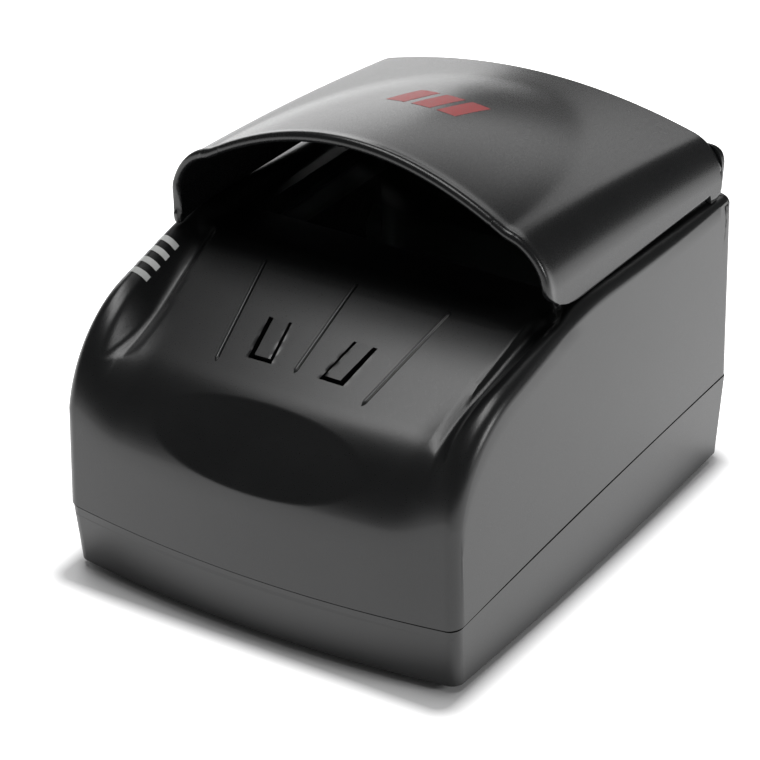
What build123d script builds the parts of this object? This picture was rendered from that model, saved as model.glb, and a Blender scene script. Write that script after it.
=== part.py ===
from build123d import *
import os
from math import cos, radians, sin, tan

os.makedirs("parts", exist_ok=True)

# Desktop page reader with a lift-up light hood.  Millimetres, +Z up, -Y is the user's side.
# The origin is on the table, under the middle of the outline.

# ---------------------------------------------------------------- driving dimensions
HALF_W = 86.6            # half width of the body at the seam, at its widest
FRONT_Y, REAR_Y = -106.0, 108.5
FOOT_H = 3.0             # how far the feet hold the pan off the table
WALL = 2.5
BOW_R = 516.0            # radius of the bowed front, in plan
BOW_Y = FRONT_Y + BOW_R  # centre of that bow, far behind the body
FRONT_SAG = 7.0          # how far the front corners lie behind the middle of the front
SIDE_BOW = (1.4, 2.0)    # how far the sides have drawn in at the front and rear corners
CORNER_R = (5.0, 2.5)    # front and rear corners, in plan
LEAN = 0.016             # inward lean of the sides, mm per mm of height
SEAM = [(-110.0, 26.4), (0, 36.0), (110.0, 37.8)]   # (y, z) of the seam in side view
SEAM_GAP = 0.4
PAN_TAPER = ((-102.3, -106.2), (85.2, HALF_W), (106.5, REAR_Y))    # front, half width and rear: floor, seam
TOP_Z = 140.0

DECK_ANGLE = 23.2        # slope of the loading ramp, degrees
DECK_Z = 115.5           # level of the top round the glass
DECK_NOSE = (-63.6, 52.8, 43.0)     # (y, z, radius) of the rounded front below the ramp
DECK_CREST = (-18.1, 75.5, 40.0)    # the roll from ramp to level top
CHEEK_NOSE = (-57.5, 61.0, 49.0)    # the same for the raised cheeks at each side
CHEEK_CREST = (-6.3, -14.6, 135.0)
CHEEK_ANGLE, CHEEK_FALL = 14.5, 2.43   # slope up to the crest and down behind it, degrees
CHEEK_X = 73.0           # the cheeks start this far from the middle
LOW_Z = 15.0

GLASS = (67.5, -0.3, 91.0)          # half width, front and rear edge of the glass
GLASS_T = 3.0
RETAINER = (70.0, -2.0, 92.5)
RETAINER_T = 1.0
WINDOW = (65.0, 0.5, 89.5)
GLASS_Z = DECK_Z - RETAINER_T - GLASS_T     # underside of the glass
GASKET_Z = GLASS_Z - 1.0                    # and of the gasket below it
OPTICS_SCREWS = [(x, y) for x in (-74.5, 74.5) for y in (6.0, 84.0)]

HINGE_Y, HINGE_Z = 99.5, 122.5
PIN_R, BUSH_R, BARREL_R = 1.5, 2.2, 3.2
RUN_FIT = 0.05
BRACKET_X = (58.0, 68.0)
LUG_GAP, LUG_W = 0.3, 3.7
BRACKET_SCREW_X = (60.0, 66.0)
BRACKET_SCREW_Y = 95.2

HOOD_HALF_W = 81.5
HOOD_T = 2.8
HOOD_REAR_Y = 103.5
HOOD_EDGE_Z = 121.3      # lower edge of the hood's sides
HOOD_FOOT_Z = 118.6      # and of the feet at their rear ends

MIRROR_C = (44.0, 68.0)  # (y, z) of the fold mirror's middle
MIRROR_HALF = 33.0
AXIS_Z = MIRROR_C[1]     # the camera looks level along +Y
PCB_Z, PCB_T = 12.0, 1.6


# ---------------------------------------------------------------- small helpers
def block(x0, x1, y0, y1, z0, z1):
    centre = Pos((x0 + x1) / 2, (y0 + y1) / 2, (z0 + z1) / 2)
    return centre * Box(x1 - x0, y1 - y0, z1 - z0)


def rod_z(x, y, z0, z1, r):
    return Pos(x, y, (z0 + z1) / 2) * Cylinder(r, z1 - z0)


def rod_x(x0, x1, y, z, r):
    return Pos((x0 + x1) / 2, y, z) * Rot(0, 90, 0) * Cylinder(r, abs(x1 - x0))


def rod_y(x, z, y0, y1, r):
    return Pos(x, (y0 + y1) / 2, z) * Rot(90, 0, 0) * Cylinder(r, y1 - y0)


def screw(x, y, z_head, z_tip, r=1.5, head_r=2.8, head_h=1.8):
    """Pan-head screw on a vertical line; the head lies beyond z_head, away from the tip."""
    away = 1 if z_head > z_tip else -1
    z_top = z_head + away * head_h
    shank = rod_z(x, y, min(z_head, z_tip), max(z_head, z_tip), r)
    return shank + rod_z(x, y, min(z_head, z_top), max(z_head, z_top), head_r)


def save(name, *shapes):
    shape = shapes[0] if len(shapes) == 1 else Compound(list(shapes))
    export_step(shape, f"parts/{name}.step")


def arc_yz(y, z, r, start, end):
    """Arc in the plane x=0 about (y, z); 180 degrees points to the front and 90 up."""
    at = [radians(a) for a in (start, (start + end) / 2, end)]
    return ThreePointArc(*[(0, y + r * cos(a), z + r * sin(a)) for a in at])


def close_yz(edges, rear, floor):
    """Close a front-to-rear outline in the plane x=0 along the rear and the floor."""
    first, last = edges[0] @ 0, edges[-1] @ 1
    corner_r, corner_f = (0, rear, floor), (0, first.Y, floor)
    closing = [Line((0, last.Y, last.Z), corner_r), Line(corner_r, corner_f)]
    return make_face(list(edges) + closing + [Line(corner_f, (0, first.Y, first.Z))])


def turned(face, span=20):
    """Turn a side outline about the bow's centre, so that the front is bowed in plan."""
    axis = Axis((0, BOW_Y, 0), (0, 0, 1))
    return revolve(face.rotate(axis, -span), axis, 2 * span)


# ---------------------------------------------------------------- body outline
def plan(front, half, rear, z, t):
    """Outline in plan: bowed front and sides, flat back, rounded corners that shrink with inset t."""
    y_corner, mid = front + FRONT_SAG, (front + rear) / 2
    x_front, x_rear = half - SIDE_BOW[0], half - SIDE_BOW[1]
    edges = [
        ThreePointArc((-x_front, y_corner), (0, front), (x_front, y_corner)),
        ThreePointArc((x_front, y_corner), (half, mid), (x_rear, rear)),
        Line((x_rear, rear), (-x_rear, rear)),
        ThreePointArc((-x_rear, rear), (-half, mid), (-x_front, y_corner)),
    ]
    face = make_face(edges)
    for radius, low, high in ((CORNER_R[0], -200, 0), (CORNER_R[1], 0, 200)):
        ends = [v for v in face.vertices() if low < v.Y < high]
        face = fillet(ends, max(radius - t, 1.0))
    return Pos(0, 0, z) * face


def shell_blank(t):
    """The upper body's sides, offset inwards by t."""
    def at(z):
        lean = LEAN * (z - SEAM[1][1])
        return plan(FRONT_Y + 0.3 * lean + t, HALF_W - lean - t, REAR_Y - 0.8 * lean - t, z, t)
    return loft([at(LOW_Z), at(TOP_Z)])


def pan_blank(t, z_floor):
    """The base pan's tapered sides, offset inwards by t."""
    def at(z):
        rise = (z - FOOT_H) / (SEAM[1][1] - FOOT_H)
        front, half, rear = [a + (b - a) * rise for a, b in PAN_TAPER]
        return plan(front + t, half - t, rear - t, z, 0.5 * t)
    return loft([at(z_floor), at(48.0)])


def deck_solid(t):
    """Everything under the ramp and level top, offset inwards by t."""
    y, z, r = DECK_NOSE
    nose = arc_yz(y, z, r - t, 180, 90 + DECK_ANGLE)
    y, z, r = DECK_CREST
    crest = arc_yz(y, z, r - t, 90 + DECK_ANGLE, 90)
    level = Line(crest @ 1, (0, REAR_Y + 20, DECK_Z - t))
    return turned(close_yz([nose, Line(nose @ 1, crest @ 0), crest, level], REAR_Y + 20, LOW_Z))


def cheek_solid(t):
    """Everything under the raised cheeks' outline, offset inwards by t."""
    y, z, r = CHEEK_NOSE
    nose = arc_yz(y, z, r - t, 180, 90 + CHEEK_ANGLE)
    y, z, r = CHEEK_CREST
    crest = arc_yz(y, z, r - t, 90 + CHEEK_ANGLE, 90 - CHEEK_FALL)
    run = REAR_Y + 20 - (crest @ 1).Y
    fall = Line(crest @ 1, (0, REAR_Y + 20, (crest @ 1).Z - run * tan(radians(CHEEK_FALL))))
    return turned(close_yz([nose, Line(nose @ 1, crest @ 0), crest, fall], REAR_Y + 20, LOW_Z))


def body_solid(t):
    cheeks = cheek_solid(t)
    x = CHEEK_X + t
    sides = (cheeks & block(x, 100, -130, 130, 0, 150)) + (cheeks & block(-100, -x, -130, 130, 0, 150))
    return shell_blank(t) & (deck_solid(t) + sides)


def under_seam(shift):
    """Everything below the seam line, moved up by shift."""
    (y0, z0), (y1, z1), (y2, z2) = [(y, z + shift) for y, z in SEAM]
    edges = [ThreePointArc((0, y0, z0), (0, y1, z1), (0, y2, z2))]
    face = close_yz(edges, y2, -10.0)
    return extrude(face, 100, dir=(1, 0, 0), both=True)


# ---------------------------------------------------------------- ramp features
DECK_PLANE = Plane(origin=(0, -72.3, 95.8), x_dir=(1, 0, 0),
                   z_dir=(0, -sin(radians(DECK_ANGLE)), cos(radians(DECK_ANGLE))))


def along_deck(y):
    """Distance up the ramp, in DECK_PLANE, of a point at depth y."""
    return (y + 72.3) / cos(radians(DECK_ANGLE))


RIB_W, RIB_PROUD = 1.1, 0.7
RIBS = [((-31.5, -76.5), (-40.2, -29.7)), ((0, -72.3), (0, -29.7)), ((31.5, -76.5), (40.2, -29.7))]
TONGUE_X = (10.6, 20.1)      # inner and outer side at the lower end
TONGUE_Y = (-71.5, -53.1)
TONGUE_FAN = 3.0             # the upper end lies this much further out
SLOT_W = 1.4


def rib(start, end):
    (x0, y0), (x1, y1) = start, end
    dx = RIB_W / 2
    v0, v1 = along_deck(y0), along_deck(y1)
    outline = make_face(Polyline((x0 - dx, v0), (x0 + dx, v0), (x1 + dx, v1), (x1 - dx, v1), close=True))
    low = 0.45 if x0 else 0.0            # the bowed ramp is a little lower off the middle
    return extrude(DECK_PLANE * Pos(0, 0, RIB_PROUD - low - 2) * outline, 2)


def tongue_slot(side):
    """U-shaped slot that frees a springy tongue; it is open at the upper end."""
    v0, v1 = along_deck(TONGUE_Y[0]), along_deck(TONGUE_Y[1])

    def leaf(inset):
        xi, xo = TONGUE_X[0] + inset, TONGUE_X[1] - inset
        pts = [(xi, v0 + inset), (xo, v0 + inset), (xo + TONGUE_FAN, v1), (xi + TONGUE_FAN, v1)]
        return make_face(Polyline(*[(side * x, v) for x, v in pts], close=True))
    return extrude(DECK_PLANE * Pos(0, 0, -5) * (leaf(0) - leaf(SLOT_W)), 10)


DISH_R, DISH_DEPTH, DISH_ANGLE = 543.0, 3.4, 35.0


def oval_dish():
    """A very large ball: where it bites into the rounded nose it leaves a shallow oval."""
    y, z, r = DECK_NOSE
    reach = r + DISH_R - DISH_DEPTH
    a = radians(DISH_ANGLE)
    return Pos(0, y - reach * cos(a), z + reach * sin(a)) * Sphere(DISH_R)


# ---------------------------------------------------------------- housings
outer = body_solid(0)
cavity = body_solid(WALL + 0.5)
BOSSES = [(-66, -62), (66, -62), (-68, 97), (68, 97)]
FEET = [(-64, -84), (64, -84), (-64, 84), (64, 84)]
BOSS_Z = 9.0

LIGHT_Y = [-57.0 + 6.6 * i for i in range(4)]
LIGHT_L = 3.0
LAMP_X = (-79.5, -76.5)
LAMP_Z = 93.0


def status_windows():
    """Four bars let into the left cheek, flush with its skin, each with a stem below."""
    skin = outer - body_solid(2.2)
    inside = body_solid(1.0)
    x0, x1 = LAMP_X
    bars = []
    for y in LIGHT_Y:
        bar = skin & block(-90, -74.4, y, y + LIGHT_L, 100, 130)
        bars.append(bar + (inside & block(x0, x1, y, y + LIGHT_L, LAMP_Z + 2, 130)))
    return bars


def seam_lip():
    """Rim of the pan that stands inside the upper housing and hides the seam."""
    inside = body_solid(WALL + 2.2)
    foot = ((shell_blank(1.2) - inside) & under_seam(-SEAM_GAP / 2)) - under_seam(-4.0)
    rim = ((body_solid(WALL + 0.7) - inside) & under_seam(2.5)) - under_seam(-1.0)
    return foot + rim


def top_housing():
    shell = outer - cavity - under_seam(SEAM_GAP / 2)
    for x, y in BOSSES:
        shell += (rod_z(x, y, BOSS_Z, 130, 4.2) & outer)
    shell -= oval_dish()
    for start, end in RIBS:
        shell += rib(start, end)
    for side in (-1, 1):
        shell -= tongue_slot(side)
    hw, y0, y1 = RETAINER
    shell -= block(-hw, hw, y0, y1, DECK_Z - RETAINER_T, DECK_Z + 5)
    hw, y0, y1 = GLASS
    shell -= block(-hw - 0.5, hw + 0.5, y0 - 0.5, y1 + 0.5, 100, DECK_Z + 1)
    for x, y in BOSSES:
        shell -= rod_z(x, y, BOSS_Z - 1, BOSS_Z + 14, 1.5)
    for x, y in OPTICS_SCREWS:
        shell += rod_z(x, y, GASKET_Z, 130, 3.4) & outer
        shell -= rod_z(x, y, GASKET_Z - 1, GASKET_Z + 6, 1.25)
    for side in (-1, 1):
        for x in BRACKET_SCREW_X:
            shell -= rod_z(side * x, BRACKET_SCREW_Y, DECK_Z - 4.5, 125, 1.0)
    return shell


PORT_DC = (-58.0, 10.0, 11.6)       # x of its middle, width, height
PORT_USB = (-34.0, 12.6, 11.6)
PORT_Z = PCB_Z + PCB_T
VENTS = range(-4, 5)


def base_pan():
    pan = (pan_blank(0, FOOT_H) - pan_blank(WALL, FOOT_H + WALL)) & under_seam(-SEAM_GAP / 2)
    pan += seam_lip()
    for x, y in BOSSES:
        pan += rod_z(x, y, FOOT_H + WALL - 0.5, BOSS_Z, 5.0)
    for x, y in BOARD_POSTS:
        pan += rod_z(x, y, FOOT_H + WALL - 0.5, PCB_Z, 3.0)
    for x, y in BOSSES:
        pan -= rod_z(x, y, FOOT_H - 1, BOSS_Z + 1, 1.7)
        pan -= rod_z(x, y, FOOT_H - 1, FOOT_H + 2.4, 3.4)
    for x, y in BOARD_POSTS:
        pan -= rod_z(x, y, FOOT_H + WALL + 1, PCB_Z + 1, 1.0)
    for x, y in FEET:
        pan -= rod_z(x, y, FOOT_H - 1, FOOT_H + 0.6, 8.2)
    for i in VENTS:
        pan -= block(i * 7.0 - 1.25, i * 7.0 + 1.25, -16, 16, 0, FOOT_H + WALL + 1)
    for x, w, h in (PORT_DC, PORT_USB):
        pan -= block(x - w / 2 - 0.4, x + w / 2 + 0.4, 95, 115, PORT_Z - 0.4, PORT_Z + h + 0.4)
    return pan


def feet():
    return [rod_z(x, y, 0, FOOT_H + 0.6, 8.0) for x, y in FEET]


# ---------------------------------------------------------------- glass and optics
def frame_plate(outer_box, inner_box, z0, z1):
    (hw, y0, y1), (iw, a, b) = outer_box, inner_box
    return block(-hw, hw, y0, y1, z0, z1) - block(-iw, iw, a, b, z0 - 1, z1 + 1)


BOX_HALF, BOX_Y, BOX_Z = 68.0, (-2.5, 92.2), 40.0
BOX_T = 2.0


def optics_box():
    """Closed light box under the glass, open in front for the camera, with a flange on top."""
    y0, y1 = BOX_Y
    body = block(-BOX_HALF, BOX_HALF, y0, y1, BOX_Z, GASKET_Z)
    body -= block(-BOX_HALF + BOX_T, BOX_HALF - BOX_T, y0 + BOX_T, y1 - BOX_T, BOX_Z + BOX_T, 130)
    body += frame_plate((70.0, y0 - 2, y1), (BOX_HALF - BOX_T, y0 + BOX_T, y1 - BOX_T),
                        GASKET_Z - 2, GASKET_Z)
    body -= block(-26, 26, y0 - 1, y0 + BOX_T + 1, AXIS_Z - 17, AXIS_Z + 17)
    for x, y in OPTICS_SCREWS:
        near, far = sorted((x, BOX_HALF * (1 if x > 0 else -1)), key=abs)
        body += block(min(near, far), max(near, far), y - 3.4, y + 3.4, GASKET_Z - 2, GASKET_Z)
        body += rod_z(x, y, GASKET_Z - 2, GASKET_Z, 3.4)
        body -= rod_z(x, y, GASKET_Z - 3, GASKET_Z + 1, 1.5)
    return body


def tilted(width, length, thick, offset=0.0):
    """Plate at 45 degrees about the fold mirror's middle, rising to the rear."""
    y, z = MIRROR_C
    return Pos(0, y, z) * Rot(45, 0, 0) * Pos(0, 0, offset) * Box(width, length, thick)


def mirror_clips():
    """Two side cheeks of the light box that hold the mirror's ends."""
    clips = []
    for side in (-1, 1):
        x = side * 57.0
        plate = block(min(x, x + side * 8.8), max(x, x + side * 8.8), 12, 74, 42.2, 96)
        band = tilted(200, 2 * MIRROR_HALF + 6, 8.0)
        slot = tilted(200, 2 * MIRROR_HALF + 0.2, 3.0, -1.5)
        clips.append((plate & band) - slot)
    return clips


LENS_Y = -62.0
CAM_Y = -80.4


def camera_parts():
    bracket = block(-30, 30, CAM_Y - 6.1, CAM_Y - 4.6, FOOT_H + WALL, AXIS_Z + 16)
    bracket += block(-30, 30, CAM_Y - 4.6, CAM_Y + 22, FOOT_H + WALL, FOOT_H + WALL + 1.5)
    board = block(-26, 26, CAM_Y - 1.6, CAM_Y, AXIS_Z - 16, AXIS_Z + 16)
    spots = [(x, z) for x in (-22, 22) for z in (AXIS_Z - 12, AXIS_Z + 12)]
    posts, screws = [], []
    for x, z in spots:
        hole = rod_y(x, z, CAM_Y - 7, CAM_Y + 1, 1.25)
        bracket -= hole
        board -= hole
        posts.append(rod_y(x, z, CAM_Y - 4.6, CAM_Y - 1.6, 2.5) - hole)
        screws.append(rod_y(x, z, CAM_Y - 6.1, CAM_Y, 1.2) + rod_y(x, z, CAM_Y, CAM_Y + 1.6, 2.4))
    for x in (-22, 22):
        bracket -= rod_z(x, CAM_Y + 12, 0, 20, 1.25)
    mount = block(-11, 11, CAM_Y, CAM_Y + 8, AXIS_Z - 11, AXIS_Z + 11)
    mount -= rod_y(0, AXIS_Z, CAM_Y - 1, CAM_Y + 9, 7.0)
    barrel = rod_y(0, AXIS_Z, CAM_Y + 1.5, LENS_Y, 7.0) + rod_y(0, AXIS_Z, LENS_Y - 4, LENS_Y, 8.5)
    barrel -= rod_y(0, AXIS_Z, CAM_Y, LENS_Y + 1, 5.5)
    lens = rod_y(0, AXIS_Z, LENS_Y - 3.5, LENS_Y - 1.0, 5.5)
    sensor = block(-5, 5, CAM_Y, CAM_Y + 1.2, AXIS_Z - 4.5, AXIS_Z + 4.5)
    return bracket, board, posts, screws, mount, barrel, lens, sensor


def illumination():
    boards, leds, diffusers = [], [], []
    for side in (-1, 1):
        x = side * (BOX_HALF - BOX_T)
        boards.append(block(min(x, x - side * 1.6), max(x, x - side * 1.6), 4, 86, 97.5, 107))
        inner = x - side * 1.6
        for i in range(8):
            y = 10 + i * 10
            leds.append(block(min(inner, inner - side), max(inner, inner - side), y - 1.5, y + 1.5, 101, 104))
        face = inner - side * 2.0
        diffusers.append(block(min(face, face - side * 1.2), max(face, face - side * 1.2), 4, 86, 97.5, 107))
    return boards, leds, diffusers


# ---------------------------------------------------------------- electronics
BOARD = (66.0, -22.0, 100.0)
BOARD_POSTS = [(-62, -18), (62, -18), (-62, 72), (62, 72)]


def main_board():
    hw, y0, y1 = BOARD
    board = block(-hw, hw, y0, y1, PCB_Z, PCB_Z + PCB_T)
    for x, y in BOARD_POSTS:
        board -= rod_z(x, y, PCB_Z - 1, PCB_Z + PCB_T + 1, 1.6)
    return board


CHIPS = [(0, 20, 24, 24, 2.2), (34, 24, 14, 10, 1.2), (34, 44, 14, 10, 1.2), (-34, 40, 16, 16, 1.4),
         (-44, 62, 10, 8, 3.0), (24, 70, 9, 9, 4.5), (44, -6, 18, 6, 5.0)]
SINK = (0, 20, 30.0, PCB_Z + PCB_T + 2.2)


def chips():
    z = PCB_Z + PCB_T
    return [block(x - w / 2, x + w / 2, y - d / 2, y + d / 2, z, z + h) for x, y, w, d, h in CHIPS]


def heatsink():
    x, y, size, z = SINK
    half = size / 2
    sink = block(x - half, x + half, y - half, y + half, z, z + 2.5)
    for i in range(8):
        fin_x = x - half + i * (size - 1.4) / 7
        sink += block(fin_x, fin_x + 1.4, y - half, y + half, z + 2, z + 12)
    return sink


def socket(port, depth, mouth):
    x, w, h = port
    body = block(x - w / 2, x + w / 2, REAR_Y - 3.2 - depth, REAR_Y - 1.6, PORT_Z, PORT_Z + h)
    return body - mouth


def ports():
    x, w, h = PORT_DC
    z = PORT_Z + h / 2
    hole = rod_y(x, z, REAR_Y - 12, REAR_Y, 3.2)
    dc = socket(PORT_DC, 12, hole) + rod_y(x, z, REAR_Y - 12.5, REAR_Y - 3.5, 1.0)
    x, w, h = PORT_USB
    z = PORT_Z + h / 2
    mouth = block(x - 4.3, x + 4.3, REAR_Y - 11, REAR_Y, z - 4.0, z + 4.0)
    usb = socket(PORT_USB, 14, mouth) + block(x - 2.8, x + 2.8, REAR_Y - 11.5, REAR_Y - 3, z - 1.6, z + 1.6)
    return dc, usb


def camera_ribbon():
    """Flat flexible cable from the camera board's foot down and back to the main board."""
    y0, z0, z1 = CAM_Y - 2.0, AXIS_Z - 16, PCB_Z + PCB_T
    y0 += 0.4
    drop = block(-8, 8, y0, y0 + 0.4, 20, z0)
    run = block(-8, 8, y0 + 3, -16, 17.0, 17.4)
    bend = Pos(0, y0 + 3, 20) * Rot(0, 90, 0) * (Cylinder(3.0, 16) - Cylinder(2.6, 16))
    bend = bend & block(-8, 8, y0 - 1, y0 + 3, 16, 20)
    plug = block(-9, 9, -20, -14, z1, 17.0)
    return drop + bend + run, plug


# ---------------------------------------------------------------- status lamp
def status_lamp():
    x0, x1 = LAMP_X
    board = block(x0 - 1, x1 + 5, LIGHT_Y[0] - 0.5, LIGHT_Y[3] + LIGHT_L + 3, LAMP_Z - 1.6, LAMP_Z)
    leds = [block(x0, x1, y, y + LIGHT_L, LAMP_Z, LAMP_Z + 1.2) for y in LIGHT_Y]
    return board, leds


# ---------------------------------------------------------------- hinge
def hinge_parts():
    brackets, bushes, pins, screws = [], [], [], []
    x0, x1 = BRACKET_X
    for side in (-1, 1):
        a, b = min(side * x0, side * x1), max(side * x0, side * x1)
        plate = block(a, b, 93.2, 101.0, DECK_Z, DECK_Z + 1.6)
        web = block(a + 3.6, b - 3.6, 96.6, 102.2, DECK_Z + 1.0, HINGE_Z)
        barrel = rod_x(a, b, HINGE_Y, HINGE_Z, BARREL_R)
        bracket = plate + web + barrel - rod_x(a - 1, b + 1, HINGE_Y, HINGE_Z, BUSH_R)
        for x in BRACKET_SCREW_X:
            bracket -= rod_z(side * x, BRACKET_SCREW_Y, DECK_Z - 1, DECK_Z + 3, 1.25)
            screws.append(screw(side * x, BRACKET_SCREW_Y, DECK_Z + 1.6, DECK_Z - 4.5,
                                r=1.0, head_r=1.7, head_h=0.9))
        brackets.append(bracket)
        bushes.append(rod_x(a, b, HINGE_Y, HINGE_Z, BUSH_R)
                      - rod_x(a - 1, b + 1, HINGE_Y, HINGE_Z, PIN_R + RUN_FIT))
        reach = LUG_GAP + LUG_W
        pins.append(rod_x(a - reach, b + reach, HINGE_Y, HINGE_Z, PIN_R))
    return brackets, bushes, pins, screws


# ---------------------------------------------------------------- hood
FRONT_ARCH = dict(y=-32.5, side_z=141.5, shoulder=(70.5, 152.5), crown=173.0)
REAR_ARCH = dict(y=HOOD_REAR_Y, side_z=130.0, shoulder=(74.5, 140.0), crown=150.8)


def hood_section(y, t):
    """Section of the hood across its width at depth y, offset inwards by t."""
    f, r = FRONT_ARCH, REAR_ARCH
    k = (y - f["y"]) / (r["y"] - f["y"])

    def mix(a, b):
        return a + (b - a) * k
    hw, foot = HOOD_HALF_W - t, 100.0
    side = mix(f["side_z"], r["side_z"])
    sx = mix(f["shoulder"][0], r["shoulder"][0]) - 0.45 * t
    sz = mix(f["shoulder"][1], r["shoulder"][1]) - 0.9 * t
    crown = mix(f["crown"], r["crown"]) - t
    mx, mz = sx + 0.72 * (hw - sx), side + 0.70 * (sz - side)
    edges = [
        Line((-hw, y, foot), (-hw, y, side)),
        ThreePointArc((-hw, y, side), (-mx, y, mz), (-sx, y, sz)),
        ThreePointArc((-sx, y, sz), (0, y, crown), (sx, y, sz)),
        ThreePointArc((sx, y, sz), (mx, y, mz), (hw, y, side)),
        Line((hw, y, side), (hw, y, foot)),
        Line((hw, y, foot), (-hw, y, foot)),
    ]
    return make_face(edges)


RIM = [(-33.2, 180.0), (-31.2, 146.0), (-30.5, 134.5)]      # (y, z) of the rim, which leans forward
CORNER_END_Y = -8.0


def hood_front_cut():
    """What is taken off in front of the rim and round its lower corners.

    The right corner is rounded back; the left one runs straight down to the cheek.
    """
    top = [(-60.0, 180.0)] + RIM
    rounded = ThreePointArc((0, *RIM[-1]), (0, -24.0, 124.6), (0, CORNER_END_Y, HOOD_EDGE_Z))
    rim = Polyline(*[(0, y, z) for y, z in top])
    square = Polyline((0, *RIM[-1]), (0, RIM[-1][0], 119.6), (0, -26.0, 120.0), (0, CORNER_END_Y, HOOD_EDGE_Z))
    closing = Polyline((0, CORNER_END_Y, HOOD_EDGE_Z), (0, CORNER_END_Y, 90), (0, -60, 90), (0, -60, 180))
    right = extrude(make_face(rim.edges() + rounded.edges() + closing.edges()), 100, dir=(1, 0, 0))
    left = extrude(make_face(rim.edges() + square.edges() + closing.edges()), 100, dir=(-1, 0, 0))
    return right, left


def hood_shell():
    rim_y = FRONT_ARCH["y"] - 10
    shell = loft([hood_section(rim_y, 0), hood_section(HOOD_REAR_Y, 0)])
    shell -= loft([hood_section(rim_y - 5, HOOD_T), hood_section(HOOD_REAR_Y - HOOD_T, HOOD_T)])
    for cut in hood_front_cut():
        shell -= cut
    shell -= block(-100, 100, CORNER_END_Y, 92.5, 90, HOOD_EDGE_Z)
    shell -= block(-100, 100, 92.4, 120, 90, HOOD_FOOT_Z)
    shell -= block(-76, 76, 92.4, 120, 90, HINGE_Z + BARREL_R + HINGE_ROOM)
    x0, x1 = BRACKET_X
    for side in (-1, 1):
        for inner in (x0 - LUG_GAP - LUG_W, x1 + LUG_GAP):
            a, b = min(side * inner, side * (inner + LUG_W)), max(side * inner, side * (inner + LUG_W))
            lug = rod_x(a, b, HINGE_Y, HINGE_Z, BARREL_R)
            lug += block(a, b, HINGE_Y - BARREL_R, HOOD_REAR_Y - 1.0, HINGE_Z, 129.0)
            shell += lug
            shell -= rod_x(a - 1, b + 1, HINGE_Y, HINGE_Z, PIN_R)
    for x in CAP_SCREW_X:
        shell -= rod_y(x, CAP_SCREW_Z, 95, 110, 1.1)
    return shell


CAP_HALF = 80.3
CAP_SCREW_X = (-45.0, 0.0, 45.0)
CAP_SCREW_Z = 132.0
CAP_NOTCH = (57.2, 68.8)     # the cap is cut away over the brackets, so that it clears them as it swings
HINGE_ROOM = 0.8             # room above the hinge's barrels


CAP_CORNER_R = 8.0


def cap_face(y):
    """Block behind y with the cap's outline, seen from behind: its two upper corners are rounded."""
    face = make_face(Polyline((-CAP_HALF, y, 105), (CAP_HALF, y, 105), (CAP_HALF, y, 137), (-CAP_HALF, y, 137),
                              close=True))
    upper = [v for v in face.vertices() if v.Z > 120]
    return extrude(fillet(upper, CAP_CORNER_R), 10, dir=(0, 1, 0))


def rear_cap():
    """Cover over the hinge at the back of the hood; its rear face leans out to the top."""
    y = HOOD_REAR_Y
    outline = make_face([
        Line((0, y, HOOD_FOOT_Z), (0, y + 0.6, HOOD_FOOT_Z)),
        Line((0, y + 0.6, HOOD_FOOT_Z), (0, y + 2.4, 132.4)),
        ThreePointArc((0, y + 2.4, 132.4), (0, y + 2.0, 135.6), (0, y, 137.0)),
        Line((0, y, 137.0), (0, y, HOOD_FOOT_Z)),
    ])
    cap = extrude(outline, CAP_HALF, dir=(1, 0, 0), both=True)
    cap = cap & cap_face(y)
    for x in CAP_SCREW_X:
        cap -= rod_y(x, CAP_SCREW_Z, 100, 110, 1.3)
    near, far = CAP_NOTCH
    for a, b in ((-far, -near), (near, far)):
        cap -= block(a, b, 95, 115, 100, HINGE_Z + BARREL_R + HINGE_ROOM)
    return cap


def cap_screws():
    y = HOOD_REAR_Y - HOOD_T
    return [rod_y(x, CAP_SCREW_Z, y, y + 4.4, 1.1) + rod_y(x, CAP_SCREW_Z, y - 1.4, y, 2.4)
            for x in CAP_SCREW_X]


def bumpers():
    return [block(min(s * 78.9, s * 81.2), max(s * 78.9, s * 81.2), 94, 100, HOOD_FOOT_Z - 1.6, HOOD_FOOT_Z)
            for s in (-1, 1)]


# ---------------------------------------------------------------- write the parts
windows = status_windows()
housing = top_housing()
for bar in windows:
    housing -= bar
save("top_housing", housing)
save("base_pan", base_pan())
save("status_windows", *windows)
save("rubber_feet", *feet())
save("base_screws", *[screw(x, y, FOOT_H + 2.4, BOSS_Z + 9, head_r=3.0) for x, y in BOSSES])

hw, y0, y1 = GLASS
save("platen_glass", block(-hw, hw, y0, y1, GLASS_Z, GLASS_Z + GLASS_T))
save("glass_gasket", frame_plate(GLASS, (BOX_HALF - BOX_T, y0 + 1.5, y1 - 1.5), GASKET_Z, GLASS_Z))
save("glass_retainer", frame_plate(RETAINER, WINDOW, DECK_Z - RETAINER_T, DECK_Z))
save("optics_box", optics_box())
save("optics_screws", *[screw(x, y, GASKET_Z - 2, GASKET_Z + 6, r=1.25, head_r=2.4, head_h=1.5)
                        for x, y in OPTICS_SCREWS])
save("fold_mirror", tilted(130, 2 * MIRROR_HALF, 3.0, -1.5))
save("mirror_clips", *mirror_clips())

bracket, cam_board, posts, cam_screws, mount, barrel, lens, sensor = camera_parts()
save("camera_bracket", bracket)
save("camera_board", cam_board)
save("camera_spacers", *posts)
save("camera_screws", *cam_screws)
save("lens_mount", mount)
save("lens_barrel", barrel)
save("lens_glass", lens)
save("image_sensor", sensor)

light_boards, light_leds, diffusers = illumination()
save("light_boards", *light_boards)
save("light_leds", *light_leds)
save("light_diffusers", *diffusers)

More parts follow.
